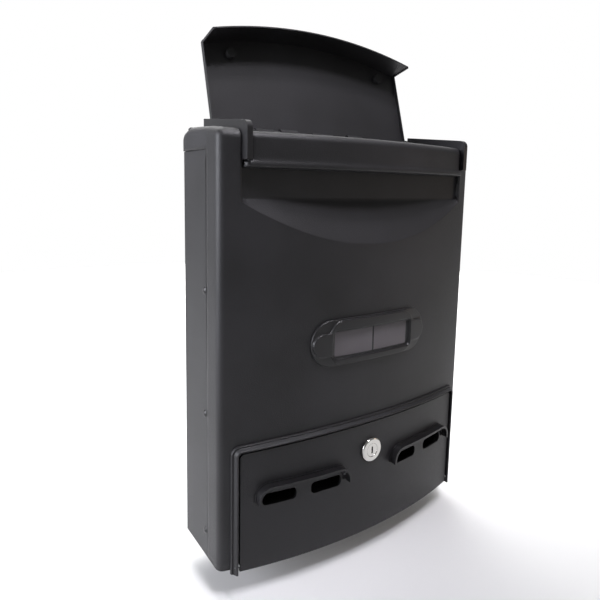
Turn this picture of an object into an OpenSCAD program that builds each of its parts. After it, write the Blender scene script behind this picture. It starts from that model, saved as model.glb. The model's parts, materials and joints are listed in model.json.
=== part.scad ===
// Wall-mounted parcel drop box: a folded steel body with a bowed front, a
// lift-up flap over the letter slot, a drop-down collection door with two
// hooded pairs of view slots and a cam lock, and a framed name window.
// X is the width, the front faces -Y, the wall plane is y = 0, +Z is up.
// The flap is drawn thrown open, the door shut and the lock cam withdrawn.

/* [Body] */
// half of the overall width of the sheet-metal body
half_w = 135; // [120:1:160]
// depth of the side wall where the bowed front meets it
side_d = 63.3; // [50:0.1:90]
// how far the middle of the front stands ahead of its edges
bow = 19.2; // [5:0.1:30]
// radius of the upright front corners
corner_r = 6.5; // [3:0.5:12]
// thickness of the body sheet
sheet = 1.2; // [0.8:0.1:2]
// distance from the wall to the upright seam in each side
seam_y = 43; // [35:1:50]
// height of the line where the shoulder caps start
shoulder_z = 327; // [310:1:335]
// height of the shoulders at the back
shoulder_top = 345.5; // [335:0.5:350]
// height of the letter slot's front lip
ledge_top = 340.5; // [330:0.5:345]
// half width of the hand recess below the lip
recess_half_w = 118; // [100:1:120]

/* [Flap] */
// half width of the flap
flap_half_w = 110; // [100:0.5:112]
// thickness of the flap sheet
flap_t = 1.2; // [0.8:0.1:2]
// length of the flap from its hinge to its front corners
flap_len = 76.9; // [60:0.1:90]
// height of the turned-down front edge
flap_lip = 25.2; // [10:0.1:30]
// slope of the shut flap
flap_slope = 5.6; // [0:0.1:15]
// angle between the shut flap and the open flap
flap_swing = 111.5; // [80:0.5:115]
// height of the flap hinge
flap_hinge_z = 347.6; // [340:0.1:350]
// distance from the wall to the flap hinge
flap_hinge_y = 2.5; // [2:0.1:6]

/* [Door] */
// half width of the collection door
door_half_w = 119.4; // [100:0.1:125]
// height of the door at its corners
door_top = 96; // [80:0.5:110]
// drop of the door below the body
door_drop = 1.5; // [0:0.1:3]
// thickness of the door panel
door_t = 2; // [1.2:0.1:3]
// distance from the wall to the door hinge
door_hinge_y = 68.5; // [60:0.1:72]
// height of the door hinge
door_hinge_z = 3; // [2:0.1:8]
// width of one view slot
slot_w = 29; // [20:0.5:35]
// height of one view slot
slot_h = 10; // [5:0.5:12]
// height of the view slots' centre line
slot_z = 55.2; // [40:1:70]
// height of the lock's centre
lock_z = 74.7; // [65:0.1:80]

/* [Name window] */
// half width of the window frame
plate_half_w = 62.5; // [50:0.5:80]
// height of the frame's centre line
plate_z = 176; // [150:1:200]

/* [Fixing] */
// spacing of the wall screws across
screw_dx = 180; // [100:5:220]
// spacing of the wall screws in height
screw_dz = 240; // [150:5:280]
// height of the middle of the wall screws
screw_zc = 172; // [150:1:200]
// diameter of the wall screw holes
screw_d = 6; // [4:0.5:8]

/* [Hidden] */
$fn = 96;
bow_r = (half_w * half_w + bow * bow) / (2 * bow);
bow_c = bow_r - side_d - bow;
flare = 2.2;
cheek_in = 113.6;
cheek_out = 118.1;
hinge_off = 4.4;
rod_r = 1.6;
run = 0.06;
pin_r = 1.2;
flap_r = 421.5;
arch_r = 2377;
plug_r = 5.8;
hood_x = 66.6;
lock_y = bow_r - bow_c;

// plan of the body, shrunk by "inset" all round except at the wall
module plan(inset) {
    w = half_w - inset;
    r = corner_r - inset;
    cx = half_w - corner_r;
    cy = bow_c - sqrt(pow(bow_r - corner_r, 2) - cx * cx);
    tx = cx * bow_r / (bow_r - corner_r);
    union() {
        intersection() {
            translate([0, bow_c]) circle(r = bow_r - inset, $fn = 720);
            translate([-tx, -120]) square([2 * tx, 120 + cy]);
        }
        for (s = [-1, 1]) translate([s * cx, cy]) circle(r = r);
        translate([-w, cy]) square([2 * w, -cy]);
    }
}

// a curved layer of the front, from "a" to "b" millimetres proud of it
module layer(a, b, z0, z1) {
    translate([0, bow_c, z0]) difference() {
        cylinder(r = bow_r + b, h = z1 - z0, $fn = 720);
        translate([0, 0, -1]) cylinder(r = bow_r + a, h = z1 - z0 + 2, $fn = 720);
    }
}

// a flat outline stood up to face the front
module face_on(depth = 100) {
    translate([0, 0, 0]) rotate([90, 0, 0]) linear_extrude(depth) children();
}

// a part of a curved front layer with the outline given by the child
module pressed(a, b, z0, z1) {
    intersection() {
        layer(a, b, z0, z1);
        translate([0, -30, 0]) face_on(90) children();
    }
}

// a side view (distance from the wall, height) given thickness along X
module side_on(x0, x1) {
    translate([x1, 0, 0]) rotate([90, 0, -90]) linear_extrude(x1 - x0) children();
}

module round_rect(w, h, r) {
    union() {
        translate([-w / 2 + r, -h / 2]) square([w - 2 * r, h]);
        translate([-w / 2, -h / 2 + r]) square([w, h - 2 * r]);
        for (x = [-1, 1], y = [-1, 1])
            translate([x * (w / 2 - r), y * (h / 2 - r)]) circle(r = r);
    }
}

module rear_tray() {
    color("#3b3b3e") difference() {
        union() {
            translate([-half_w, -sheet, 0]) cube([2 * half_w, sheet, shoulder_z - 0.2]);
            translate([-cheek_out, -sheet, 0]) cube([2 * cheek_out, sheet, 332.8]);
            translate([-cheek_in + 0.2, -sheet, 0])
                cube([2 * cheek_in - 0.4, sheet, 343.4]);
            for (s = [0, 1]) mirror([s, 0, 0])
                translate([half_w - sheet, -seam_y, 0])
                    cube([sheet, seam_y, shoulder_z - 0.2]);
            translate([-half_w + 0.6, -31, 0]) cube([2 * half_w - 1.2, 30.4, sheet]);
            translate([-half_w + 3, -62, 0]) cube([2 * half_w - 6, 31.5, sheet]);
            translate([-half_w + 3, -62, 0]) cube([2 * half_w - 6, sheet, 5]);
            // knuckles that carry the flap's rod
            for (x = [-72, -12, 54]) {
                translate([x, -flap_hinge_y, flap_hinge_z]) rotate([0, 90, 0])
                    cylinder(r = flap_hinge_y - 0.1, h = x == -12 ? 24 : 18);
                translate([x, -sheet - 0.4, 338])
                    cube([x == -12 ? 24 : 18, sheet, flap_hinge_z - 338]);
            }
        }
        translate([-100, -flap_hinge_y, flap_hinge_z]) rotate([0, 90, 0])
            cylinder(r = rod_r, h = 200);
        for (x = [-1, 1], z = [-1, 1])
            translate([x * screw_dx / 2, 1, screw_zc + z * screw_dz / 2])
                rotate([90, 0, 0]) cylinder(d = screw_d, h = 4);
        for (s = [-1, 1], z = [21.8, 121.5, 220.6])
            translate([s * (half_w - 3), -39, z]) rotate([0, 90, 0])
                cylinder(r = 1.6, h = 10, center = true);
    }
}

// side view of the shoulder cap, shrunk by "i"
module cap_side(i) {
    intersection() {
        union() {
            translate([1.5 + i, shoulder_z - 1]) square([66 - 2 * i, 6.5]);
            translate([i, shoulder_z + 4.4]) square([67.5 - 2 * i, 2.2]);
            translate([12, shoulder_z]) square([46.5, 30]);
            translate([12, shoulder_top - 12]) circle(r = 12 - i);
            translate([58.5, 333.2]) circle(r = 9 - i);
        }
        translate([0, shoulder_z - 40]) polygon([[0, 0], [80, 0], [80, 50 - i],
            [58.5, 55.3 - i], [46, 57 - i], [14, 58.5 - i], [0, 58.5 - i]]);
    }
}

// the cap over one end of the body: side view, front view and plan combined
module shoulder_block(x0, i) {
    edge = half_w + flare - i;
    intersection() {
        side_on(x0, 150) cap_side(i);
        translate([0, 10, 0]) rotate([-2.5, 0, 0]) face_on(120) union() {
            translate([0, 300]) square([edge, shoulder_top - 300 - 8]);
            translate([0, 300]) square([half_w + flare - 8, 60]);
            translate([half_w + flare - 8, shoulder_top - 8]) circle(r = 8 - i);
        }
        union() {
            translate([0, 0, 300]) linear_extrude(60) plan(i);
            translate([0, 0, 300]) linear_extrude(60) polygon([[x0, -50],
                [half_w - i, -50], [half_w - i, -46], [edge, -12], [edge, 0], [x0, 0]]);
        }
    }
}

module front_shell() {
    hood_in = half_w - 2 * sheet - 0.1;
    color("#333236") difference() {
        union() {
            difference() {
                linear_extrude(shoulder_z) plan(0);
                translate([0, 0, -1]) linear_extrude(shoulder_z + 2) plan(sheet);
                translate([-200, -seam_y - 0.3, -1]) cube([400, 60, 400]);
            }
            for (s = [0, 1]) mirror([s, 0, 0]) {
                translate([hood_in, -48, 2]) cube([sheet, 15, shoulder_z - 4]);
                translate([hood_in, -48, 2]) cube([2 * sheet, 4.5, shoulder_z - 4]);
                difference() {
                    shoulder_block(cheek_out + 0.2, 0);
                    shoulder_block(cheek_out + 0.2 + sheet, sheet);
                    translate([0, -200, 310]) cube([200, 220, shoulder_z - 310]);
                }
                translate([cheek_out + 0.2, -64, 290]) cube([sheet, 24, 40]);
            }
            // back wall of the hand recess, running up behind the lip
            translate([-cheek_out - 1.4, -64.5, 289]) cube([2 * cheek_out + 2.8, sheet, 43.8]);
            // sloping scoop under the recess
            intersection() {
                translate([0, 0, 240]) linear_extrude(60) plan(0.4);
                translate([-cheek_out, -64.2, 289.6]) rotate([-26, 0, 0])
                    translate([0, -1.2, -42]) cube([2 * cheek_out, 1.2, 42]);
            }
        }
        // hand recess cut through the bowed wall above the scoop
        translate([-cheek_out - 0.2, -120, 315]) cube([2 * cheek_out + 0.4, 55.5, 60]);
        translate([-recess_half_w, -120, 289.6]) cube([2 * recess_half_w, 55.5, 30]);
        intersection() {
            translate([-recess_half_w, -120, 240]) cube([2 * recess_half_w, 60, 50]);
            translate([-200, -64.2, 289.6]) rotate([-26, 0, 0])
                translate([0, -81.2, -60]) cube([400, 80, 90]);
        }
        // opening behind the door
        translate([-112, -120, 6]) cube([224, 60, 83.5]);
        translate([-120.6, -120, -1]) cube([241.2, 60, 12]);
        // card pocket and stud holes
        for (x = [-1, 1]) translate([x * 53, -60, plate_z]) rotate([90, 0, 0])
            cylinder(r = 1.6, h = 40);
        for (s = [-1, 1], z = [21.8, 121.5, 220.6])
            translate([s * (half_w - 3), -39, z]) rotate([0, 90, 0])
                cylinder(r = 1.6, h = 10, center = true);
        for (s = [-1, 1], y = [-20, -50]) translate([s * cheek_out, y, 338.2])
            rotate([0, 90, 0]) cylinder(r = 1.6, h = 10, center = true);
        for (x = [-1, 1]) translate([x * 9, -60, 98]) rotate([90, 0, 0])
            cylinder(r = 1.5, h = 40);
    }
}

module slot_ledge() {
    color("#2d2c31") intersection() {
        union() {
            translate([-cheek_in + 0.4, -100, 317.2]) cube([2 * cheek_in - 0.8, 60, 60]);
            translate([-recess_half_w + 0.6, -100, 300])
                cube([2 * recess_half_w - 1.2, 60, 18.4]);
        }
        difference() {
            union() {
                layer(-0.4, 3, 317, ledge_top - 4);
                layer(-3.4, -1, ledge_top - 1.6, ledge_top);
                translate([0, bow_c, ledge_top - 4]) rotate_extrude($fn = 720)
                    intersection() {
                        translate([bow_r - 1, 0]) circle(r = 4);
                        translate([bow_r - 1, 0]) square([4, 4]);
                    }
                layer(-2.2, 4, 313.8, 317.2);
                difference() {
                    translate([0, bow_c, 313.8]) cylinder(r = bow_r + 2, h = ledge_top - 313.8 - 4, $fn = 720);
                    translate([-200, -64.9, 300]) cube([400, 1200, 60]);
                }
            }
            difference() {
                translate([0, bow_c, 315.2]) cylinder(r = bow_r + 1.4, h = ledge_top - 316.7, $fn = 720);
                translate([-200, -66.3, 300]) cube([400, 1200, 60]);
            }
            translate([-200, -64.9, 300]) cube([400, 1200, 60]);
        }
    }
}

// side view of a cheek: the bar along the slot and the leg down the front
module cheek_side() {
    difference() {
        union() {
            polygon([[0.2, 333], [0.2, 354], [2, 354], [66.5, 347.7], [70, 345], [70, 333]]);
            translate([69, 341]) circle(r = 6.4);
            translate([66.2, 319.5]) square([9.2, 21.5]);
        }
        translate([46, 349.2]) square([0.8, 3]);
    }
}

module cheek() {
    difference() {
        side_on(cheek_in, cheek_out) cheek_side();
        translate([cheek_in - 1, -flap_hinge_y, flap_hinge_z]) rotate([0, 90, 0])
            cylinder(r = rod_r, h = 20);
        for (y = [-20, -50]) translate([cheek_in + 2, y, 338.2]) rotate([0, 90, 0])
            cylinder(r = 1.4, h = 10);
    }
}

module left_cheek() { color("#2a292c") mirror([1, 0, 0]) cheek(); }
module right_cheek() { color("#2a292c") cheek(); }

module flap_rod() {
    color("#8e9093") translate([-cheek_out, -flap_hinge_y, flap_hinge_z])
        rotate([0, 90, 0]) cylinder(r = rod_r, h = 2 * cheek_out);
}

// places a child drawn for the shut, level flap with the hinge at the origin
module on_flap() {
    translate([0, -flap_hinge_y, flap_hinge_z]) rotate([flap_slope - flap_swing, 0, 0])
        children();
}

module flap_plan(i) {
    centre = sqrt(flap_r * flap_r - flap_half_w * flap_half_w) - flap_len;
    intersection() {
        translate([-flap_half_w + i, -120]) square([2 * (flap_half_w - i), 121.5]);
        translate([0, centre]) circle(r = flap_r - i, $fn = 720);
    }
}

module flap() {
    color("#2b292c") on_flap() difference() {
        union() {
            translate([0, 0, hinge_off]) linear_extrude(flap_t) flap_plan(0);
            translate([0, 0, hinge_off + flap_t - flap_lip]) linear_extrude(flap_lip)
                difference() {
                    flap_plan(0);
                    flap_plan(flap_t);
                    translate([-200, -flap_len + 2]) square([400, 200]);
                }
            for (s = [0, 1]) mirror([s, 0, 0]) {
                translate([flap_half_w - flap_t, -flap_len - 0.4, hinge_off - 3])
                    cube([flap_t, flap_len + 1.9, 3.5]);
                translate([flap_half_w - 3, 0, 0]) rotate([0, 90, 0])
                    cylinder(r = 3.4, h = 3);
                translate([flap_half_w - 3, -3.4, 0]) cube([3, 4.9, hinge_off + 0.4]);
            }
            for (x = [-38, 38]) {
                translate([x - 9, 0, 0]) rotate([0, 90, 0]) cylinder(r = 3.4, h = 18);
                translate([x - 9, -1.5, 0]) cube([18, 3, hinge_off + 0.4]);
            }
        }
        translate([-200, 0, 0]) rotate([0, 90, 0]) cylinder(r = rod_r + run, h = 400);
        for (s = [-1, 1]) translate([s * 84.5, -69.5, 0]) cylinder(r = 1.5, h = 20);
    }
}

// rubber buffer: a button under the flap with a stem through it
module bumper() {
    on_flap() translate([84.5, -69.5, 0]) {
        translate([0, 0, hinge_off - 4.2]) cylinder(r = 4.5, h = 4.2);
        translate([0, 0, hinge_off - 0.2]) cylinder(r = 1.5, h = flap_t + 0.2);
        translate([0, 0, hinge_off + flap_t]) cylinder(r = 2.6, h = 0.8);
    }
}

module left_bumper() { color("#1b1b1c") mirror([1, 0, 0]) bumper(); }
module right_bumper() { color("#1b1b1c") bumper(); }

// outline of the frame round the door, "i" in from its outer edge
module surround_outline(i) {
    intersection() {
        translate([0, 46.5]) round_rect(252 - 2 * i, 118.4 - 2 * i, 8 - i);
        translate([0, 105.7 - i - arch_r]) circle(r = arch_r, $fn = 1440);
    }
}

module door_surround() {
    color("#302f32") difference() {
        union() {
            pressed(0, 2.4, -3, 110) difference() {
                surround_outline(0);
                surround_outline(4.6);
                translate([-121.4, -30]) square([242.8, 60]);
            }
            pressed(2.2, 4.4, -3, 110) difference() {
                surround_outline(0.8);
                surround_outline(3.6);
                translate([-122.4, -30]) square([244.8, 60]);
            }
            pressed(4.2, 5.2, -3, 110) difference() {
                surround_outline(1.6);
                surround_outline(2.8);
                translate([-123.2, -30]) square([246.4, 60]);
            }
        }
        translate([-200, -door_hinge_y, door_hinge_z]) rotate([0, 90, 0])
            cylinder(r = pin_r, h = 400);
    }
}

module door_pins() {
    color("#8e9093") for (s = [0, 1]) mirror([s, 0, 0])
        translate([door_half_w - 6, -door_hinge_y, door_hinge_z]) rotate([0, 90, 0])
            cylinder(r = pin_r, h = 10.4);
}

module door_outline() {
    cx = door_half_w - 3.5;
    cz = door_top + 3 - arch_r + sqrt(pow(arch_r - 3.5, 2) - cx * cx);
    tx = cx * arch_r / (arch_r - 3.5);
    union() {
        intersection() {
            translate([0, door_top + 3 - arch_r]) circle(r = arch_r, $fn = 1440);
            translate([-tx, cz]) square([2 * tx, 40]);
        }
        for (s = [-1, 1]) translate([s * cx, cz]) circle(r = 3.5);
        translate([-door_half_w, -door_drop]) square([2 * door_half_w, cz + door_drop]);
    }
}

module door_panel() {
    color("#38373a") difference() {
        union() {
            pressed(0.4, 0.4 + door_t, -door_drop, 100) door_outline();
            pressed(-4.4, 0.6, 8, 88) difference() {
                translate([0, 48]) square([220, 79], center = true);
                translate([0, 48]) square([217.6, 76.6], center = true);
            }
            // knuckles carrying the hinge pins
            for (s = [0, 1]) mirror([s, 0, 0])
                translate([door_half_w - 7, -door_hinge_y, door_hinge_z])
                    rotate([0, 90, 0]) cylinder(r = 2.2, h = 6.4);
        }
        translate([-200, -door_hinge_y, door_hinge_z]) rotate([0, 90, 0])
            cylinder(r = pin_r + run, h = 400);
        for (x = [-1, 1], k = [-1, 1])
            translate([x * hood_x + k * 21, -50, slot_z]) rotate([90, 0, 0])
                linear_extrude(60) round_rect(slot_w, slot_h, 3.8);
        translate([0, -60, lock_z]) rotate([90, 0, 0]) cylinder(r = 8, h = 50);
        for (x = [-1, 1], k = [-1, 1]) translate([x * hood_x + k * 38.8, -50, 60])
            rotate([90, 0, 0]) cylinder(r = 1.2, h = 60);
    }
}

// a visor over one pair of view slots
module hood() {
    difference() {
        union() {
            pressed(0.4 + door_t, 9.6, 50, 80) difference() {
                translate([hood_x, 56]) round_rect(83, 26, 11);
                translate([hood_x, 54.3]) round_rect(79, 25.6, 9.2);
                translate([0, 20]) square([200, 34.8]);
            }
            pressed(0.4 + door_t, 1.6 + door_t, 50, 80) difference() {
                translate([hood_x, 56]) round_rect(84.4, 27.4, 11.7);
                translate([hood_x, 53.6]) round_rect(76, 23.6, 8);
                translate([0, 20]) square([200, 34.8]);
            }
        }
        for (k = [-1, 1]) pressed(1, 3.6, 50, 80)
            translate([hood_x + k * 38.8, 60]) circle(r = 1.2);
    }
}

module left_hood() { color("#343336") mirror([1, 0, 0]) hood(); }
module right_hood() { color("#343336") hood(); }

module hood_studs() {
    color("#77797c") for (x = [-1, 1], k = [-1, 1]) {
        pressed(-1.4, 0.4, 50, 80) translate([x * hood_x + k * 38.8, 60]) circle(r = 2.4);
        pressed(0.2, 3.4, 50, 80) translate([x * hood_x + k * 38.8, 60]) circle(r = 1.2);
    }
}

// stacks turned shapes along the lock's axis, measured in from its front face
module along_lock(d) {
    translate([0, -lock_y - 5.4 + d, lock_z]) rotate([-90, 0, 0]) children();
}

module lock_housing() {
    color("#c9c8c4") difference() {
        union() {
            along_lock(0) cylinder(r1 = 9.8, r2 = 10.75, h = 1);
            along_lock(1) cylinder(r = 10.75, h = 2);
            along_lock(2.9) cylinder(r = 8, h = 7.6);
        }
        along_lock(-1) cylinder(r = plug_r + run, h = 20);
    }
}

module lock_nut() {
    color("#a9a8a4") difference() {
        along_lock(5.15) cylinder(r = 10.6, h = 3, $fn = 6);
        along_lock(4) cylinder(r = 8, h = 6);
    }
}

module lock_plug() {
    color("#d4d3cf") difference() {
        union() {
            along_lock(0.3) cylinder(r = plug_r, h = 10.5);
            along_lock(10.7) cylinder(r = 4, h = 2.3);
        }
        along_lock(-0.5) translate([-0.8, -3, 0]) cube([1.6, 6, 6]);
        along_lock(9) cylinder(r = 1.6, h = 5);
    }
}

module lock_cam() {
    color("#8f9194") difference() {
        union() {
            along_lock(10.8) cylinder(r = 7.5, h = 2);
            along_lock(10.8) translate([0, -6, 0]) cube([24, 12, 2]);
        }
        along_lock(10) cylinder(r = 4, h = 4);
    }
}

module cam_screw() {
    color("#9fa1a4") difference() {
        union() {
            along_lock(13) cylinder(r = 5, h = 2);
            along_lock(9.4) cylinder(r = 1.6, h = 4);
        }
        along_lock(14) translate([-0.6, -4, 0]) cube([1.2, 8, 2]);
    }
}

module cam_keeper() {
    color("#6d6f72") difference() {
        union() {
            pressed(-2.7, -1.2, 91, 104) translate([-15, 91]) square([30, 13]);
            pressed(-3.9, -2.6, 91, 96) translate([-15, 91]) square([30, 4]);
        }
        for (x = [-1, 1]) translate([x * 9, -60, 98]) rotate([90, 0, 0])
            cylinder(r = 1.5, h = 40);
    }
}

module keeper_rivets() {
    color("#8a8c8f") for (x = [-1, 1]) {
        pressed(-4, -2.7, 90, 106) translate([x * 9, 98]) circle(r = 2.6);
        pressed(-2.9, 0.2, 90, 106) translate([x * 9, 98]) circle(r = 1.5);
        pressed(0, 0.3, 90, 106) translate([x * 9, 98]) circle(r = 2.6);
    }
}

module side_rivets() {
    color("#4a4a4c") for (s = [0, 1], z = [21.8, 121.5, 220.6]) mirror([s, 0, 0])
        translate([half_w, -39, z]) rotate([0, 90, 0]) {
            intersection() {
                translate([0, 0, -3.1]) sphere(r = 4.32);
                cylinder(r = 3.2, h = 3);
            }
            translate([0, 0, -2.6]) cylinder(r = 1.6, h = 2.7);
            translate([0, 0, -3.9]) cylinder(r = 2.6, h = 1.4);
        }
}

module cheek_screws() {
    color("#7b7d80") for (s = [0, 1], y = [-20, -50]) mirror([s, 0, 0])
        translate([0, y, 338.2]) rotate([0, 90, 0]) {
            translate([0, 0, cheek_in + 2]) cylinder(r = 1.4, h = 5);
            translate([0, 0, cheek_out + 0.2 + sheet]) cylinder(r = 2.8, h = 2);
        }
}

// lobed outline of the name frame: a tall middle with a low ear at each end
module bezel_outline(i) {
    round_rect(94 - 2 * i, 39 - 2 * i, 13 - i);
    translate([0, -0.8]) round_rect(2 * plate_half_w - 2 * i, 19 - 2 * i, 9.5 - i - 0.01);
}

module plate_bezel() {
    color("#2f2e31") difference() {
        union() {
            pressed(0, 2.2, 150, 200) translate([0, plate_z])
                round_rect(2 * plate_half_w, 39, 19.4);
            pressed(2, 3.6, 150, 200) translate([0, plate_z]) bezel_outline(0.9);
            pressed(3.4, 4.4, 150, 200) translate([0, plate_z]) bezel_outline(1.9);
            for (x = [-1, 1])
                pressed(-4.5, 0.2, 150, 200) translate([x * 53, plate_z]) circle(r = 1.6);
        }
        pressed(-1, 6, 150, 200) translate([0, 174]) round_rect(85, 23, 2);
        pressed(-0.2, 1.7, 150, 200) translate([0, 174]) round_rect(90, 27, 1);
    }
}

module plate_window() {
    color("#9fb4bd", 0.4) pressed(0.7, 1.7, 150, 200) translate([0, 174])
        round_rect(89.6, 26.6, 1);
}

module name_card() {
    color("#8d8a8c") pressed(0, 0.4, 150, 200) translate([0, 174])
        round_rect(89, 26, 0.5);
}

module card_divider() {
    color("#5b5a5d") pressed(0.4, 0.7, 150, 200) translate([0, 174])
        square([1.2, 25], center = true);
}

module plate_push_nuts() {
    color("#7b7d80") for (x = [-1, 1])
        pressed(-2.4, -1.2, 150, 200) translate([x * 53, plate_z]) difference() {
            circle(r = 4.2);
            circle(r = 1.6);
        }
}

rear_tray();
front_shell();
slot_ledge();
left_cheek();
right_cheek();
flap_rod();
flap();
left_bumper();
right_bumper();
door_surround();
door_pins();
door_panel();
left_hood();
right_hood();
hood_studs();
lock_housing();
lock_nut();
lock_plug();
lock_cam();
cam_screw();
cam_keeper();
keeper_rivets();
side_rivets();
cheek_screws();
plate_bezel();
plate_window();
name_card();
card_divider();
plate_push_nuts();
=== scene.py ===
import math
import json
import bmesh
import bpy
from mathutils import Matrix, Vector


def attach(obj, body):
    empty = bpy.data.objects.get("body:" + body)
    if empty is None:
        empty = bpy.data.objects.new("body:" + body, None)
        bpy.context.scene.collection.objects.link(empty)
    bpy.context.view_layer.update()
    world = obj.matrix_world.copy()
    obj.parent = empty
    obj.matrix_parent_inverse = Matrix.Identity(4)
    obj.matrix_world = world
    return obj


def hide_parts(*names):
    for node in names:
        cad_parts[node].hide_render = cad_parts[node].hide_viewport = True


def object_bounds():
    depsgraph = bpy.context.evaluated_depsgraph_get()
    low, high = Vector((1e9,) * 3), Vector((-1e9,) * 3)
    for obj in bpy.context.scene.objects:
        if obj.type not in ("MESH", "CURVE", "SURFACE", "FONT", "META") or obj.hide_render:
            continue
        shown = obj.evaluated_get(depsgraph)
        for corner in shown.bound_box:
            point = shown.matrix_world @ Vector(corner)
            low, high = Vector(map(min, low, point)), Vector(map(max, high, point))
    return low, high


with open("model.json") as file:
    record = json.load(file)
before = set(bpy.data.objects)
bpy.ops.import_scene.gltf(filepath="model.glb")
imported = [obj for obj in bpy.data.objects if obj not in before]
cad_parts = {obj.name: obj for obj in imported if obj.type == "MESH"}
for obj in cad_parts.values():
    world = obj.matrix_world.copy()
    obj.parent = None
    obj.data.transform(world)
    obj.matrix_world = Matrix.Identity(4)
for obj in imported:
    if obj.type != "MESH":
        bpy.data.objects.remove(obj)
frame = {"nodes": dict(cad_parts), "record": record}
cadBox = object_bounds()
nodes = frame["nodes"]
scene = bpy.context.scene
print("stage: frame loaded,", len(nodes), "CAD nodes")

mm = 0.001

view = {
    "place": (-0.2942, -0.4054, 0.3013),  # where the lens is, in metres
    "heading": -34.36,   # turned left of straight-on, degrees
    "downTilt": 7.39,
    "roll": 1.17,
    "lens": 31.25, "sensor": 36,
    "shift": (-0.0057, -0.0769),
    "near": 0.01,
}


def makeCamera():
    heading, tilt, roll = (math.radians(view[k]) for k in ("heading", "downTilt", "roll"))
    ahead = Vector((-math.sin(heading), math.cos(heading), 0))
    forward = ahead * math.cos(tilt) - Vector((0, 0, math.sin(tilt)))
    right = forward.cross(Vector((0, 0, 1))).normalized()
    up = right.cross(forward)
    rolledRight = right * math.cos(roll) + up * math.sin(roll)
    rolledUp = up * math.cos(roll) - right * math.sin(roll)
    data = bpy.data.cameras.new("roomCamera")
    data.lens = view["lens"]
    data.sensor_width = view["sensor"]
    data.shift_x, data.shift_y = view["shift"]
    data.clip_start = view["near"]
    camera = bpy.data.objects.new("roomCamera", data)
    pose = Matrix((rolledRight, rolledUp, -forward)).transposed().to_4x4()
    pose.translation = Vector(view["place"])
    camera.matrix_world = pose
    scene.collection.objects.link(camera)
    scene.camera = camera


makeCamera()

light = {  # metres and watts; beam is the full spread angle in degrees
    "window": {
        "place": (-1.5, 0.25, 0.62), "aim": (0, 0, 0.42), "size": (1.2, 1.0),
        "power": 8.2, "tint": "#f4f6ff", "beam": 70,
    },
    "frontHigh": {
        "place": (0.0, -0.8, 1.72), "aim": (0, -0.02, 0.33), "size": (0.3, 0.3),
        "power": 0.42, "tint": "#f8f6ff", "beam": 24,
    },
    "overhead": {  # far enough forward that it doesn't shine down through the letter slot
        "place": (0.0, -0.5, 1.85), "aim": (0, -0.03, 0.37), "size": (0.25, 0.25),
        "power": 0.24, "tint": "#fbf8ff", "beam": 18,
    },
    "lowRight": {
        "place": (0.9, -0.7, 0.3), "aim": (0.28, -0.2, 0.0), "size": (0.3, 0.3),
        "power": 0.1, "tint": "#ffe3c8", "beam": 60,
    },
    "backFloor": {
        "place": (0.75, 1.4, 1.6), "aim": (0.8, 1.15, 0), "size": (2.4, 1.6),
        "power": 42, "tint": "#ffffff", "beam": 105,
    },
}


def toLinear(hexColour):
    parts = [int(hexColour[i:i + 2], 16) / 255 for i in (1, 3, 5)]
    return tuple(c / 12.92 if c <= 0.04045 else ((c + 0.055) / 1.055) ** 2.4 for c in parts) + (1.0,)


def makeLight(name, spec):
    data = bpy.data.lights.new(name, "AREA")
    data.shape = "RECTANGLE"
    data.size, data.size_y = spec["size"]
    data.spread = math.radians(spec["beam"])
    data.energy = spec["power"]
    data.color = toLinear(spec["tint"])[:3]
    lamp = bpy.data.objects.new(name, data)
    lamp.location = spec["place"]
    turn = (Vector(spec["aim"]) - Vector(spec["place"])).to_track_quat("-Z", "Y")
    lamp.rotation_euler = turn.to_euler()
    scene.collection.objects.link(lamp)


for name, spec in light.items():
    makeLight(name, spec)
print("stage: camera and lights")


def addNode(tree, kind, settings=None, links=None):
    # settings go to sockets by name or number, or to the node itself; links join sockets
    node = tree.nodes.new(kind)
    for key, value in (settings or {}).items():
        if isinstance(key, int) or key in node.inputs:
            node.inputs[key].default_value = value
        else:
            setattr(node, key, value)
    for key, source in (links or {}).items():
        tree.links.new(source, node.inputs[key])
    return node


def startMaterial(name):
    mat = bpy.data.materials.new(name)
    mat.use_nodes = True
    tree = mat.node_tree
    tree.nodes.clear()
    place = addNode(tree, "ShaderNodeTexCoord").outputs["Object"]
    return mat, tree, place


def shadeRamp(tree, factor, stops):
    # stops are (position, hex colour) or (position, plain value)
    ramp = addNode(tree, "ShaderNodeValToRGB", {}, {"Fac": factor})
    band = ramp.color_ramp
    while len(band.elements) < len(stops):
        band.elements.new(0.5)
    for element, (at, colour) in zip(band.elements, stops):
        element.position = at
        grey = (colour, colour, colour, 1)
        element.color = toLinear(colour) if isinstance(colour, str) else grey
    return ramp.outputs["Color"]


def endMaterial(tree, shader):
    addNode(tree, "ShaderNodeOutputMaterial", {}, {"Surface": shader.outputs[0]})


powderCoat = {
    "dark": "#0c0b0d", "light": "#1e1d20", "rough": (0.46, 0.58),
    "grain": 1.0 * mm,  # real texture is about 0.3 mm, drawn coarser so it shows
    "grainRelief": 0.9, "grainDepth": 0.17 * mm,
    "orangePeel": 5 * mm, "peelRelief": 0.08, "peelDepth": 0.3 * mm,
    "clouds": 14.0,  # per metre: slow change in the sprayed thickness
}


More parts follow.
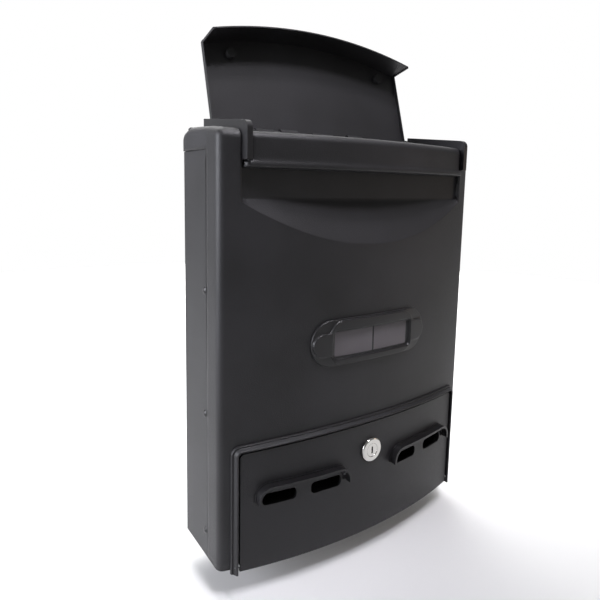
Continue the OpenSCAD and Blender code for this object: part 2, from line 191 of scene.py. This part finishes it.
def powderCoatMaterial(name, spec):
    # polyester powder coat, sprayed and baked on steel: matt black with a fine sandy grain
    mat, tree, place = startMaterial(name)
    grain = addNode(tree, "ShaderNodeTexNoise",
                    {"Scale": 1 / spec["grain"], "Detail": 3.0, "Roughness": 0.6}, {"Vector": place})
    peel = addNode(tree, "ShaderNodeTexNoise",
                   {"Scale": 1 / spec["orangePeel"], "Detail": 2.0}, {"Vector": place})
    cloud = addNode(tree, "ShaderNodeTexNoise",
                    {"Scale": spec["clouds"], "Detail": 2.0}, {"Vector": place})
    mixed = addNode(tree, "ShaderNodeMath", {"operation": "MULTIPLY_ADD", 1: 0.55},
                    {0: grain.outputs["Fac"], 2: cloud.outputs["Fac"]})
    colour = shadeRamp(tree, mixed.outputs[0], [(0.55, spec["dark"]), (0.95, spec["light"])])
    rough = shadeRamp(tree, grain.outputs["Fac"], [(0.35, spec["rough"][0]), (0.65, spec["rough"][1])])
    soft = addNode(tree, "ShaderNodeBump",
                   {"Strength": spec["peelRelief"], "Distance": spec["peelDepth"]},
                   {"Height": peel.outputs["Fac"]})
    sandy = addNode(tree, "ShaderNodeBump",
                    {"Strength": spec["grainRelief"], "Distance": spec["grainDepth"]},
                    {"Height": grain.outputs["Fac"], "Normal": soft.outputs[0]})
    shader = addNode(tree, "ShaderNodeBsdfPrincipled", {"IOR": 1.5, "Metallic": 0.0},
                     {"Base Color": colour, "Roughness": rough, "Normal": sandy.outputs[0]})
    endMaterial(tree, shader)
    return mat


moulding = {
    "dark": "#111012", "light": "#171618", "rough": (0.36, 0.46),
    "spark": 0.8 * mm, "sparkRelief": 0.16, "sparkDepth": 0.06 * mm,
}


def mouldedMaterial(name, spec):
    # ABS, injection moulded with a light spark texture: satin black, glossier than the coat
    mat, tree, place = startMaterial(name)
    spark = addNode(tree, "ShaderNodeTexNoise",
                    {"Scale": 1 / spec["spark"], "Detail": 2.0}, {"Vector": place})
    flow = addNode(tree, "ShaderNodeTexNoise", {"Scale": 30.0, "Detail": 1.0}, {"Vector": place})
    colour = shadeRamp(tree, flow.outputs["Fac"], [(0.3, spec["dark"]), (0.7, spec["light"])])
    rough = shadeRamp(tree, spark.outputs["Fac"], [(0.3, spec["rough"][0]), (0.7, spec["rough"][1])])
    bump = addNode(tree, "ShaderNodeBump",
                   {"Strength": spec["sparkRelief"], "Distance": spec["sparkDepth"]},
                   {"Height": spark.outputs["Fac"]})
    shader = addNode(tree, "ShaderNodeBsdfPrincipled", {"IOR": 1.53, "Metallic": 0.0},
                     {"Base Color": colour, "Roughness": rough, "Normal": bump.outputs[0]})
    endMaterial(tree, shader)
    return mat


chromePlate = {"tint": "#d8d6d2", "rough": (0.1, 0.18), "swirl": 0.5 * mm, "swirlDepth": 0.05 * mm}


def metalMaterial(name, spec):
    # plated metal: bright, with fine machining lines that soften the reflections
    mat, tree, place = startMaterial(name)
    lines = addNode(tree, "ShaderNodeTexNoise",
                    {"Scale": 1 / spec["swirl"], "Detail": 2.0}, {"Vector": place})
    rough = shadeRamp(tree, lines.outputs["Fac"], [(0.3, spec["rough"][0]), (0.7, spec["rough"][1])])
    bump = addNode(tree, "ShaderNodeBump", {"Strength": 0.08, "Distance": spec["swirlDepth"]},
                   {"Height": lines.outputs["Fac"]})
    shader = addNode(tree, "ShaderNodeBsdfPrincipled",
                     {"Base Color": toLinear(spec["tint"]), "Metallic": 1.0},
                     {"Roughness": rough, "Normal": bump.outputs[0]})
    endMaterial(tree, shader)
    return mat


rubberButton = {"dark": "#141415", "light": "#1f1f20", "grain": 1.2 * mm, "depth": 0.05 * mm}


def rubberMaterial(name, spec):
    # moulded nitrile rubber: dull black with a faint bloom
    mat, tree, place = startMaterial(name)
    bloom = addNode(tree, "ShaderNodeTexNoise",
                    {"Scale": 1 / spec["grain"], "Detail": 3.0}, {"Vector": place})
    colour = shadeRamp(tree, bloom.outputs["Fac"], [(0.3, spec["dark"]), (0.7, spec["light"])])
    bump = addNode(tree, "ShaderNodeBump", {"Strength": 0.2, "Distance": spec["depth"]},
                   {"Height": bloom.outputs["Fac"]})
    shader = addNode(tree, "ShaderNodeBsdfPrincipled", {"IOR": 1.52, "Roughness": 0.75},
                     {"Base Color": colour, "Normal": bump.outputs[0]})
    endMaterial(tree, shader)
    return mat


acrylicWindow = {"tint": "#2b2d31", "rough": (0.04, 0.09), "alpha": 0.2}


def windowMaterial(name, spec):
    # clear acrylic sheet: glossy and see-through, with faint handling haze
    mat, tree, place = startMaterial(name)
    haze = addNode(tree, "ShaderNodeTexNoise", {"Scale": 60.0, "Detail": 4.0}, {"Vector": place})
    rough = shadeRamp(tree, haze.outputs["Fac"], [(0.4, spec["rough"][0]), (0.7, spec["rough"][1])])
    shader = addNode(tree, "ShaderNodeBsdfPrincipled",
                     {"Base Color": toLinear(spec["tint"]), "IOR": 1.49, "Alpha": spec["alpha"]},
                     {"Roughness": rough})
    endMaterial(tree, shader)
    return mat


cardStock = {
    "dark": "#868084", "light": "#918b8f",
    "fibre": 2.5 * mm, "depth": 0.05 * mm,  # real fibres are finer, drawn coarser so they show
}


def cardMaterial(name, spec):
    # uncoated grey card: dull, with short paper fibres
    mat, tree, place = startMaterial(name)
    stretched = addNode(tree, "ShaderNodeMapping", {"Scale": (1.0, 1.0, 3.0)}, {"Vector": place})
    fibre = addNode(tree, "ShaderNodeTexNoise",
                    {"Scale": 1 / spec["fibre"], "Detail": 4.0}, {"Vector": stretched.outputs[0]})
    colour = shadeRamp(tree, fibre.outputs["Fac"], [(0.3, spec["dark"]), (0.7, spec["light"])])
    bump = addNode(tree, "ShaderNodeBump", {"Strength": 0.1, "Distance": spec["depth"]},
                   {"Height": fibre.outputs["Fac"]})
    shader = addNode(tree, "ShaderNodeBsdfPrincipled", {"IOR": 1.47, "Roughness": 0.85},
                     {"Base Color": colour, "Normal": bump.outputs[0]})
    endMaterial(tree, shader)
    return mat


doorCoat = dict(powderCoat, dark="#131214", light="#1c1b1e")
# rivets: the same powder coat copied much darker, painted shade so the small domed heads read as dark
# dots
rivetShadedCoat = dict(powderCoat, dark="#050505", light="#0b0b0c", rough=(0.34, 0.42))
zincPlate = dict(chromePlate, tint="#a9aaac", rough=(0.3, 0.42))
cardStrip = dict(cardStock, dark="#222124", light="#29282b")
finish = {
    "powder_coat": powderCoatMaterial("powderCoatedSteel", powderCoat),
    "door_coat": powderCoatMaterial("powderCoatedDoor", doorCoat),
    "coated_rivet": powderCoatMaterial("rivetCoatPaintedShade", rivetShadedCoat),
    "moulding": mouldedMaterial("mouldedBlackAbs", moulding),
    "lock_chrome": metalMaterial("chromePlatedZinc", chromePlate),
    "plated_steel": metalMaterial("zincPlatedSteel", zincPlate),
    "rubber": rubberMaterial("nitrileRubber", rubberButton),
    "clear_window": windowMaterial("clearAcrylic", acrylicWindow),
    "card": cardMaterial("greyCardStock", cardStock),
    "card_line": cardMaterial("darkCardStrip", cardStrip),
}
slotOf = {part["node"]: part["material_slot"] for part in frame["record"]["subparts"]}
for name, node in nodes.items():
    node.data.materials.clear()
    node.data.materials.append(finish[slotOf[name]])
print("stage: materials")

joinGap = 0.002 * mm  # corners closer than this are one corner


def addPiece(name, points, faces, body, slotName, standsFor):
    bm = bmesh.new()
    verts = [bm.verts.new(Vector(p) * mm) for p in points]
    for face in faces:
        corners = []
        for k in face:
            if verts[k] not in corners:
                corners.append(verts[k])
        if len(corners) > 2:
            try:
                bm.faces.new(corners)
            except ValueError:
                pass  # the same face is already there
    bmesh.ops.remove_doubles(bm, verts=bm.verts, dist=joinGap)
    bmesh.ops.dissolve_degenerate(bm, edges=bm.edges, dist=joinGap)
    bmesh.ops.recalc_face_normals(bm, faces=bm.faces)
    mesh = bpy.data.meshes.new(name)
    bm.to_mesh(mesh)
    bm.free()
    for poly in mesh.polygons:
        poly.use_smooth = True
    mesh.materials.append(finish[slotName])
    piece = bpy.data.objects.new(name, mesh)
    scene.collection.objects.link(piece)
    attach(piece, body)
    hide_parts(standsFor)
    return piece


def evenShading(piece, weight):
    # big faces shade flat and the light turns only in the rounded edges
    shade = piece.modifiers.new("evenShading", "WEIGHTED_NORMAL")
    shade.weight = weight


class Grid:
    # collects points and quads; a face is made where all four corners exist
    def __init__(self):
        self.points, self.faces = [], []

    def sheet(self, rows):
        start = len(self.points)
        index = {}
        for j, row in enumerate(rows):
            for i, p in enumerate(row):
                if p is not None:
                    index[j, i] = start + len(index)
                    self.points.append(p)
        for j in range(len(rows) - 1):
            for i in range(max(len(row) for row in rows) - 1):
                ring = [(j, i), (j, i + 1), (j + 1, i + 1), (j + 1, i)]
                if all(k in index for k in ring):
                    self.faces.append([index[k] for k in ring])


# front shell: bowed wall, hand recess and rounded shoulders
shell = {  # millimetres
    "halfWidth": 135, "sideDepth": 63.3, "bow": 19.2, "corner": 6.5, "seam": 43.3,
    "recessHalf": 118, "recessBack": -64.5, "recessCrease": 291.5, "recessTop": 338,
    "scoopLow": 254.6, "scoopRise": 34.2, "capLine": 327, "edgeRound": 7.0, "capFoot": 334,
    "flare": 2.2, "flareFrom": 46, "flareRun": 34, "rearCorner": 4.5, "rearRound": 12,
    "thickness": 1.2, "doorHalf": 112, "doorTop": 89.5, "recessLip": 117.4, "cheekGap": 0.2,
    "columns": 48,
    # the shoulder's height along its depth: dipping to the front
    "capLevels": ((-75, 340.2), (-66, 341.4), (-58.5, 342.3), (-46, 344.0),
                  (-30, 344.8), (-14, 345.4), (0, 345.5)),
    # flange joggled inwards behind the seam, and the heights of its rows
    "flange": ((135, -43.3), (134.4, -43.3), (133.7, -42.8), (133.6, -33)),
    "flangeRows": (2, 110, 220, 322),
}
shell["bowR"] = (shell["halfWidth"] ** 2 + shell["bow"] ** 2) / (2 * shell["bow"])
shell["bowC"] = shell["bowR"] - shell["sideDepth"] - shell["bow"]


def bowY(x, proud=0.0):
    return shell["bowC"] - math.sqrt((shell["bowR"] + proud) ** 2 - x * x)


def capTop(y):
    levels = shell["capLevels"]
    high = levels[-1][1]
    for (y0, z0), (y1, z1) in zip(levels, levels[1:]):
        if y0 <= y <= y1:
            high = z0 + (z1 - z0) * (y - y0) / (y1 - y0)
    back = y + shell["rearRound"]
    if back > 0:
        high -= shell["rearRound"] - math.sqrt(max(0.0, shell["rearRound"] ** 2 - back * back))
    return high


def shoulderOutline():
    # (x, y, outward normal) from the recess edge round the corner and back to the wall
    s = shell
    cx = s["halfWidth"] - s["corner"]
    cy = s["bowC"] - math.sqrt((s["bowR"] - s["corner"]) ** 2 - cx * cx)
    touch = cx * s["bowR"] / (s["bowR"] - s["corner"])
    path = []
    for k in range(7):
        x = s["recessHalf"] + (touch - s["recessHalf"]) * k / 6
        y = bowY(x)
        path.append((x, y, x / s["bowR"], (y - s["bowC"]) / s["bowR"]))
    start = math.atan2(path[-1][3], path[-1][2])
    for k in range(1, 9):
        a = start * (1 - k / 8)
        across, along = math.cos(a), math.sin(a)
        path.append((cx + s["corner"] * across, cy + s["corner"] * along, across, along))
    for y in (-54, -50, -46, -s["seam"]):
        path.append((s["halfWidth"], y, 1, 0))
    seamAt = len(path) - 1
    for y in (-38, -32, -26, -20, -12, -5):
        out = s["flare"] * min(1, (y + s["flareFrom"]) / s["flareRun"])
        path.append((s["halfWidth"] + out, y, 1, 0))
    r = s["rearCorner"]
    for k in range(1, 6):
        a = math.radians(90 * k / 5)
        across, along = math.cos(a), math.sin(a)
        path.append((s["halfWidth"] + s["flare"] - r + r * across, -5 + r * along, across, along))
    path.append((s["recessHalf"] + s["cheekGap"], -0.5, 0, 1))
    return path, seamAt


def wallHeights(x):
    # heights of the wall's rows at one place across, up to the lower edge of the scoop
    crescent = shell["scoopLow"] + shell["scoopRise"] * (x / shell["recessHalf"]) ** 2
    low = [0, 6, 11, 50, shell["doorTop"], 91, 110, 150, 190]
    near = [low[-1] + (crescent - low[-1]) * k for k in (0.2, 0.4, 0.6, 0.8, 0.93)]
    return low + near + [crescent - 0.7, crescent]


def addWall(g):
    # the bowed wall, open where the door is, then the scoop and the back of the recess
    s = shell
    step = 2 * s["recessHalf"] / s["columns"]
    marks = {-s["doorHalf"], s["doorHalf"], -s["recessLip"], s["recessLip"]}
    xs = sorted({round(-s["recessHalf"] + step * k, 3) for k in range(s["columns"] + 1)} | marks)
    rows = [[(x, bowY(x), wallHeights(x)[j]) for x in xs] for j in range(len(wallHeights(0)))]
    doorRow = len([z for z in wallHeights(0) if z < s["doorTop"] + 0.1])
    clear = s["doorHalf"] - 0.1
    besideDoor = [[None if abs(p[0]) < clear else p for p in row] for row in rows[:doorRow - 1]]
    g.sheet(besideDoor + [rows[doorRow - 1]])
    g.sheet(rows[doorRow - 1:])
    deep = []
    for t in (0, 0.03, 0.25, 0.5, 0.75, 0.93, 1.0):
        line = []
        for x in xs:
            z0 = wallHeights(x)[-1]
            y = bowY(x) + (s["recessBack"] - bowY(x)) * t
            line.append((x, y, z0 + (s["recessCrease"] - z0) * t))
        deep.append(line)
    for z in (s["recessCrease"] + 1.2, 300, 312, 325, s["recessTop"]):
        deep.append([(x, s["recessBack"], z) for x in xs])
    g.sheet(deep)


def addShoulder(g, side):
    s = shell
    r = s["edgeRound"]
    inner = s["recessHalf"] + s["cheekGap"]
    path, seamAt = shoulderOutline()
    scoopEnd = wallHeights(s["recessHalf"])
    above = [292, 300, 313.8, 319.5, s["capLine"], 330, 331.5]
    block = []
    for z in scoopEnd + above:
        # the tray closes the side behind the seam, up to the cap
        reach = seamAt if z < s["capLine"] - 0.1 else len(path)
        block.append([(side * p[0], p[1], z) if i <= reach else None for i, p in enumerate(path)])
    for k in range(0, 9):
        a = math.radians(90 * k / 8)
        inset = r * (1 - math.cos(a))
        line = []
        for x, y, nx, ny in path:
            px, py = x - nx * inset, y - ny * inset
            if ny < 0 < nx and nx > 0.35:
                # inside the tight upright corner the rings close in on its own centre
                keep = min(inset, s["corner"] - 0.15)
                px, py = x - nx * keep, y - ny * keep
            top = capTop(min(py, -0.5 - inset) if ny > 0.5 else py)
            line.append((side * max(px, inner), py, top - r + r * math.sin(a)))
        block.append(line)
    last = block[-1]
    block.append([(side * (inner + (abs(p[0]) - inner) * 0.5), p[1], p[2]) for p in last])
    block.append([(side * inner, p[1], p[2]) for p in last])
    block.append([(side * inner, p[1], s["capFoot"]) for p in last])
    g.sheet(block)
    # the wall at the end of the recess
    x = side * s["recessHalf"]
    front = bowY(s["recessHalf"])
    edge = [scoopEnd[-1]] + above
    g.sheet([[(x, front, z), (x, s["recessBack"], max(z, s["recessCrease"]))] for z in edge])
    g.sheet([[(side * px, py, z) for px, py in s["flange"]] for z in s["flangeRows"]])


def buildFrontShell():
    g = Grid()
    addWall(g)
    for side in (1, -1):
        addShoulder(g, side)
    piece = addPiece("frontShell", g.points, g.faces, "cabinet", "powder_coat", "front_shell")
    sheet = piece.modifiers.new("sheetThickness", "SOLIDIFY")
    sheet.thickness = shell["thickness"] * mm
    sheet.offset = -1
    sheet.use_even_offset = False


buildFrontShell()
print("stage: front shell")

# slot ledge: rolled top edge over a flared bottom bead
ledge = {  # millimetres; "proud" is measured out from the bowed wall
    "upperHalf": 113.2, "beadHalf": 117.0, "top": 340.4, "roll": 6.2, "face": 2.9,
    "bottom": 313.9, "back": -64.95, "endRound": 3.4, "rearProud": -3.4,
    "beadTop": 317.4, "upperFoot": 317.6, "endCentre": (-67.5, 326), "columns": 56,
    # (out from the face, height) down the flat face into the hollow over the bead
    "hollow": ((0, 328), (0, 322.4), (0.06, 320.8), (0.2, 319.7), (0.4, 318.9)),
    "bead": ((0.62, 318.2), (0.85, 317.3), (0.98, 316.4), (0.92, 315.5),
             (0.6, 314.7), (0.1, 314.2)),
}


def ledgeSection():
    # (proud, height, half width of that level), from the top of the slot down to the underside
    s = ledge
    upper, lower = s["upperHalf"], s["beadHalf"]
    line = [(s["rearProud"] - 0.2, s["top"] - 0.5, upper), (s["rearProud"], s["top"], upper)]
    for k in range(9):
        a = math.radians(90 - 90 * k / 8)
        out = s["face"] - s["roll"] + s["roll"] * math.cos(a)
        line.append((out, s["top"] - s["roll"] + s["roll"] * math.sin(a), upper))
    line += [(s["face"] + out, z, upper) for out, z in s["hollow"]]
    line += [(s["face"] + out, z, lower) for out, z in s["bead"]]
    return line + [(-2, s["bottom"], lower)]


def buildLedge():
    s = ledge
    g = Grid()
    tips = [0.982, 0.99, 0.996, 0.999]  # closer columns where the ends turn round
    even = [-1 + 2 * k / s["columns"] for k in range(s["columns"] + 1)]
    across = [-1] + [-u for u in tips[::-1]] + [u for u in even if abs(u) < 0.975] + tips + [1]
    rows = []
    for proud, z, half in ledgeSection():
        row = []
        for u in across:
            x = u * half
            over = max(0.0, abs(x) - (half - s["endRound"]))
            pull = s["endRound"] - math.sqrt(max(0.0, s["endRound"] ** 2 - over * over))
            row.append((x, bowY(x, proud - min(pull, max(0.0, proud - s["rearProud"]))), z))
        rows.append(row)
    rear = [(p[0], s["back"], s["top"] - 0.5) for p in rows[0]]
    low = [[(p[0], s["back"], z) for p in rows[-1]] for z in (s["bottom"], s["beadTop"])]
    rows = [rear] + rows + low + [[(p[0], s["back"], s["upperFoot"]) for p in rear]]
    g.sheet(rows + [rear])
    for end in (0, -1):
        ring = [row[end] for row in rows]
        middle = len(g.points)
        g.points.append((ring[0][0], *s["endCentre"]))
        g.points.extend(ring)
        for k in range(len(ring)):
            g.faces.append([middle, middle + 1 + k, middle + 1 + (k + 1) % len(ring)])
    piece = addPiece("slotLedge", g.points, g.faces, "cabinet", "powder_coat", "slot_ledge")
    evenShading(piece, 80)


buildLedge()
print("stage: slot ledge")

# frame round the door: a rolled bead stepped off a thin flange
surround = {  # millimetres
    "half": 126, "foot": -3.0, "cornerR": 7.5, "archR": 2377, "archTop": 105.7,
    "legSteps": 10, "cornerSteps": 10, "archSteps": 40,
    # section: distance in from the outer edge and how far it stands out
    "section": ((0.0, 0.0), (0.0, 1.5), (0.35, 2.0), (0.8, 2.15), (1.3, 1.75), (1.7, 1.8), (2.2, 2.9),
                (2.6, 4.0), (3.1, 4.7), (3.6, 4.95), (4.1, 4.8), (4.5, 4.3), (4.65, 3.4), (4.65, 0.0)),
}


def surroundPath(inset):
    # one leg, round the corner, over the arch and down the other leg; "inset" runs inwards
    s = surround
    r, archR = s["cornerR"], s["archR"]
    legs, turns, spans = s["legSteps"], s["cornerSteps"], s["archSteps"]
    cx = s["half"] - r
    cz = s["archTop"] - archR + math.sqrt((archR - r) ** 2 - cx * cx)
    lean = math.asin(cx / (archR - r))
    path = [(-s["half"] + inset, s["foot"] + (cz - s["foot"]) * k / legs) for k in range(legs + 1)]
    for k in range(1, turns + 1):
        a = math.pi - (math.pi / 2 - lean) * k / turns
        path.append((-cx + (r - inset) * math.cos(a), cz + (r - inset) * math.sin(a)))
    for k in range(1, spans):
        a = -lean + 2 * lean * k / spans
        z = s["archTop"] - archR + (archR - inset) * math.cos(a)
        path.append(((archR - inset) * math.sin(a), z))
    return path + [(-x, z) for x, z in path[legs + turns::-1]]


def buildSurround():
    g = Grid()
    rows = []
    for inset, proud in surround["section"]:
        rows.append([(x, bowY(x, proud), z) for x, z in surroundPath(inset)])
    g.sheet(rows)
    for end in (0, -1):
        tip = [row[end] for row in rows]
        start = len(g.points)
        g.points.extend(tip)
        for k in range(1, len(tip) - 1):
            g.faces.append([start, start + k, start + k + 1])
    piece = addPiece("doorSurround", g.points, g.faces, "cabinet", "powder_coat", "door_surround")
    evenShading(piece, 80)


buildSurround()
print("stage: door surround")

# name frame: racetrack base, raised lobed plate and sloped window opening
nameFrame = {  # millimetres
    "half": 62.5, "high": 39, "centre": 175.6, "base": 2.1, "plate": 3.9,
    "earHigh": 18.6, "earDrop": -0.8, "earInset": 0.9,
    "middleHalf": 46.5, "middleHigh": 37.4, "middleR": 13.5,
    "openHalf": 43.6, "openHigh": 24.4, "openR": 3.2, "openZ": 174,
    "glassHalf": 40.2, "glassHigh": 20.6, "glassR": 1.4,
}


def roundedRect(half, high, r, n=10):
    # outline points, turning anticlockwise from the right-hand middle
    w, h = half - r, high / 2 - r
    out = []
    for cx, cz, a0 in ((w, h, 0), (-w, h, 90), (-w, -h, 180), (w, -h, 270)):
        for k in range(n + 1):
            a = math.radians(a0 + 90 * k / n)
            out.append((cx + r * math.cos(a), cz + r * math.sin(a)))
    return out


def racetrack(half, high, n):
    return roundedRect(half, high, high / 2 - 0.01, n)


def rayReach(outline, angle):
    # distance from the centre to the outline along one direction
    dx, dz = math.cos(angle), math.sin(angle)
    best = 0.0
    for (x0, z0), (x1, z1) in zip(outline, outline[1:] + outline[:1]):
        ex, ez = x1 - x0, z1 - z0
        cross = dx * ez - dz * ex
        if abs(cross) < 1e-9:
            continue
        t = (x0 * ez - z0 * ex) / cross
        u = (x0 * dz - z0 * dx) / cross
        if t > 0 and -1e-6 <= u <= 1 + 1e-6:
            best = max(best, t)
    return best


def buildNameFrame():
    s = nameFrame
    earHalf = s["half"] - s["earInset"]
    outlines = (racetrack(s["half"], s["high"], 14), racetrack(earHalf, s["earHigh"], 12),
                roundedRect(s["middleHalf"], s["middleHigh"], s["middleR"]),
                roundedRect(s["openHalf"], s["openHigh"], s["openR"], 6))
    angles = {round(math.radians(a), 4) for a in range(-180, 180, 3)}
    for outline in outlines:
        angles |= {round(math.atan2(z, x), 4) for x, z in outline}
    angles = sorted(angles)
    rings = []

    def reachOf(line, shift=0.0):
        moved = [(x, z + shift) for x, z in line]
        return [rayReach(moved, a) for a in angles]

    def addRing(reach, proud):
        row = []
        for a, t in zip(angles, reach):
            x, z = t * math.cos(a), s["centre"] + t * math.sin(a)
            row.append((x, bowY(x, proud), z))
        rings.append(row + row[:1])

    def baseReach(inset):
        return reachOf(racetrack(s["half"] - inset, s["high"] - 2 * inset, 14))

    base, plate = s["base"], s["plate"]
    for inset, proud in ((0, 0.0), (0, base - 0.9), (0.25, base - 0.3), (0.8, base)):
        addRing(baseReach(inset), proud)
    middle = reachOf(roundedRect(s["middleHalf"], s["middleHigh"], s["middleR"]))
    ears = reachOf(racetrack(earHalf, s["earHigh"], 10), s["earDrop"])
    outer = [min(max(m, e), b) for m, e, b in zip(middle, ears, baseReach(s["earInset"]))]
    for inset, proud in ((0, base), (0.15, plate - 0.7), (0.4, plate - 0.2), (0.95, plate)):
        addRing([t - inset for t in outer], proud)
    drop = s["openZ"] - s["centre"]
    for grow, proud in ((0.7, plate), (0.2, plate - 0.15), (0, plate - 0.6)):
        line = roundedRect(s["openHalf"] + grow, s["openHigh"] + 2 * grow, s["openR"] + grow, 6)
        addRing(reachOf(line, drop), proud)
    for part, proud in ((0.0, 1.6), (0.85, 1.1), (1.0, 0.75)):
        size = [s["open" + k] + (s["glass" + k] - s["open" + k]) * part for k in ("Half", "High", "R")]
        addRing(reachOf(roundedRect(*size, 6), drop), proud)
    g = Grid()
    g.sheet(rings)
    piece = addPiece("nameFrame", g.points, g.faces, "cabinet", "moulding", "plate_bezel")
    evenShading(piece, 80)


buildNameFrame()
print("stage: name frame")

# the other pieces keep their shape and get softened edges
edgeRadius = {  # millimetres
    "rear_tray": 0.5, "left_cheek": 1.0, "right_cheek": 1.0,
    "flap": 0.5, "left_bumper": 0.6, "right_bumper": 0.6, "door_panel": 0.7,
    "left_hood": 0.8, "right_hood": 0.8, "lock_housing": 0.5, "lock_plug": 0.3, "lock_nut": 0.3,
    "lock_cam": 0.3, "cam_screw": 0.3, "plate_window": 0.2,
}
edgeRule = {"flat": 0.15, "sharp": 32, "segments": 3}  # angles in degrees


def softenEdges(node, radius):
    weld = node.modifiers.new("joinCorners", "WELD")
    weld.merge_threshold = joinGap
    flat = node.modifiers.new("wholeFaces", "DECIMATE")
    flat.decimate_type = "DISSOLVE"
    flat.angle_limit = math.radians(edgeRule["flat"])
    bevel = node.modifiers.new("softEdges", "BEVEL")
    bevel.width = radius * mm
    bevel.segments = edgeRule["segments"]
    bevel.limit_method = "ANGLE"
    bevel.angle_limit = math.radians(edgeRule["sharp"])
    bevel.use_clamp_overlap = True
    evenShading(node, 60)


for name, radius in edgeRadius.items():
    softenEdges(nodes[name], radius)
print("stage: edges")

studio = {
    "drop": 0.022,  # metres; a wall box hangs clear of the floor, with room for the dropped door
    "radius": 1.7, "sides": 64, "dark": "#ececec", "light": "#f0f0f0",
    # white paper roll behind the box, falling off to a dim room in front of it
    "paperSide": (0.56, 0.82, 0.0), "paperGlow": [(0.0, 0.2), (0.55, 0.28), (0.7, 1.0)],
}


def makeFloor():
    mat, tree, place = startMaterial("paleFloor")
    tone = addNode(tree, "ShaderNodeTexNoise", {"Scale": 3.0}, {"Vector": place})
    colour = shadeRamp(tree, tone.outputs["Fac"], [(0.3, studio["dark"]), (0.7, studio["light"])])
    shader = addNode(tree, "ShaderNodeBsdfPrincipled", {"Roughness": 0.9}, {"Base Color": colour})
    endMaterial(tree, shader)
    bm = bmesh.new()
    for k in range(studio["sides"]):
        turn = math.radians(360 * k / studio["sides"])
        across, along = studio["radius"] * math.cos(turn), studio["radius"] * math.sin(turn)
        bm.verts.new((across, along, cadBox[0].z - studio["drop"]))
    bm.faces.new(bm.verts)
    mesh = bpy.data.meshes.new("studioFloor")
    bm.to_mesh(mesh)
    bm.free()
    mesh.materials.append(mat)
    floor = bpy.data.objects.new("studioFloor", mesh)
    scene.collection.objects.link(floor)


def makeBackdrop():
    world = bpy.data.worlds.new("paperRoll")
    world.use_nodes = True
    tree = world.node_tree
    tree.nodes.clear()
    towards = addNode(tree, "ShaderNodeTexCoord").outputs["Generated"]
    facing = addNode(tree, "ShaderNodeVectorMath",
                     {"operation": "DOT_PRODUCT", 1: studio["paperSide"]}, {0: towards})
    glow = shadeRamp(tree, facing.outputs["Value"], studio["paperGlow"])
    sky = addNode(tree, "ShaderNodeBackground", {"Strength": 1.0}, {"Color": glow})
    addNode(tree, "ShaderNodeOutputWorld", {}, {"Surface": sky.outputs[0]})
    scene.world = world
    scene.view_settings.view_transform = "Standard"


makeFloor()
makeBackdrop()
print("stage: floor")
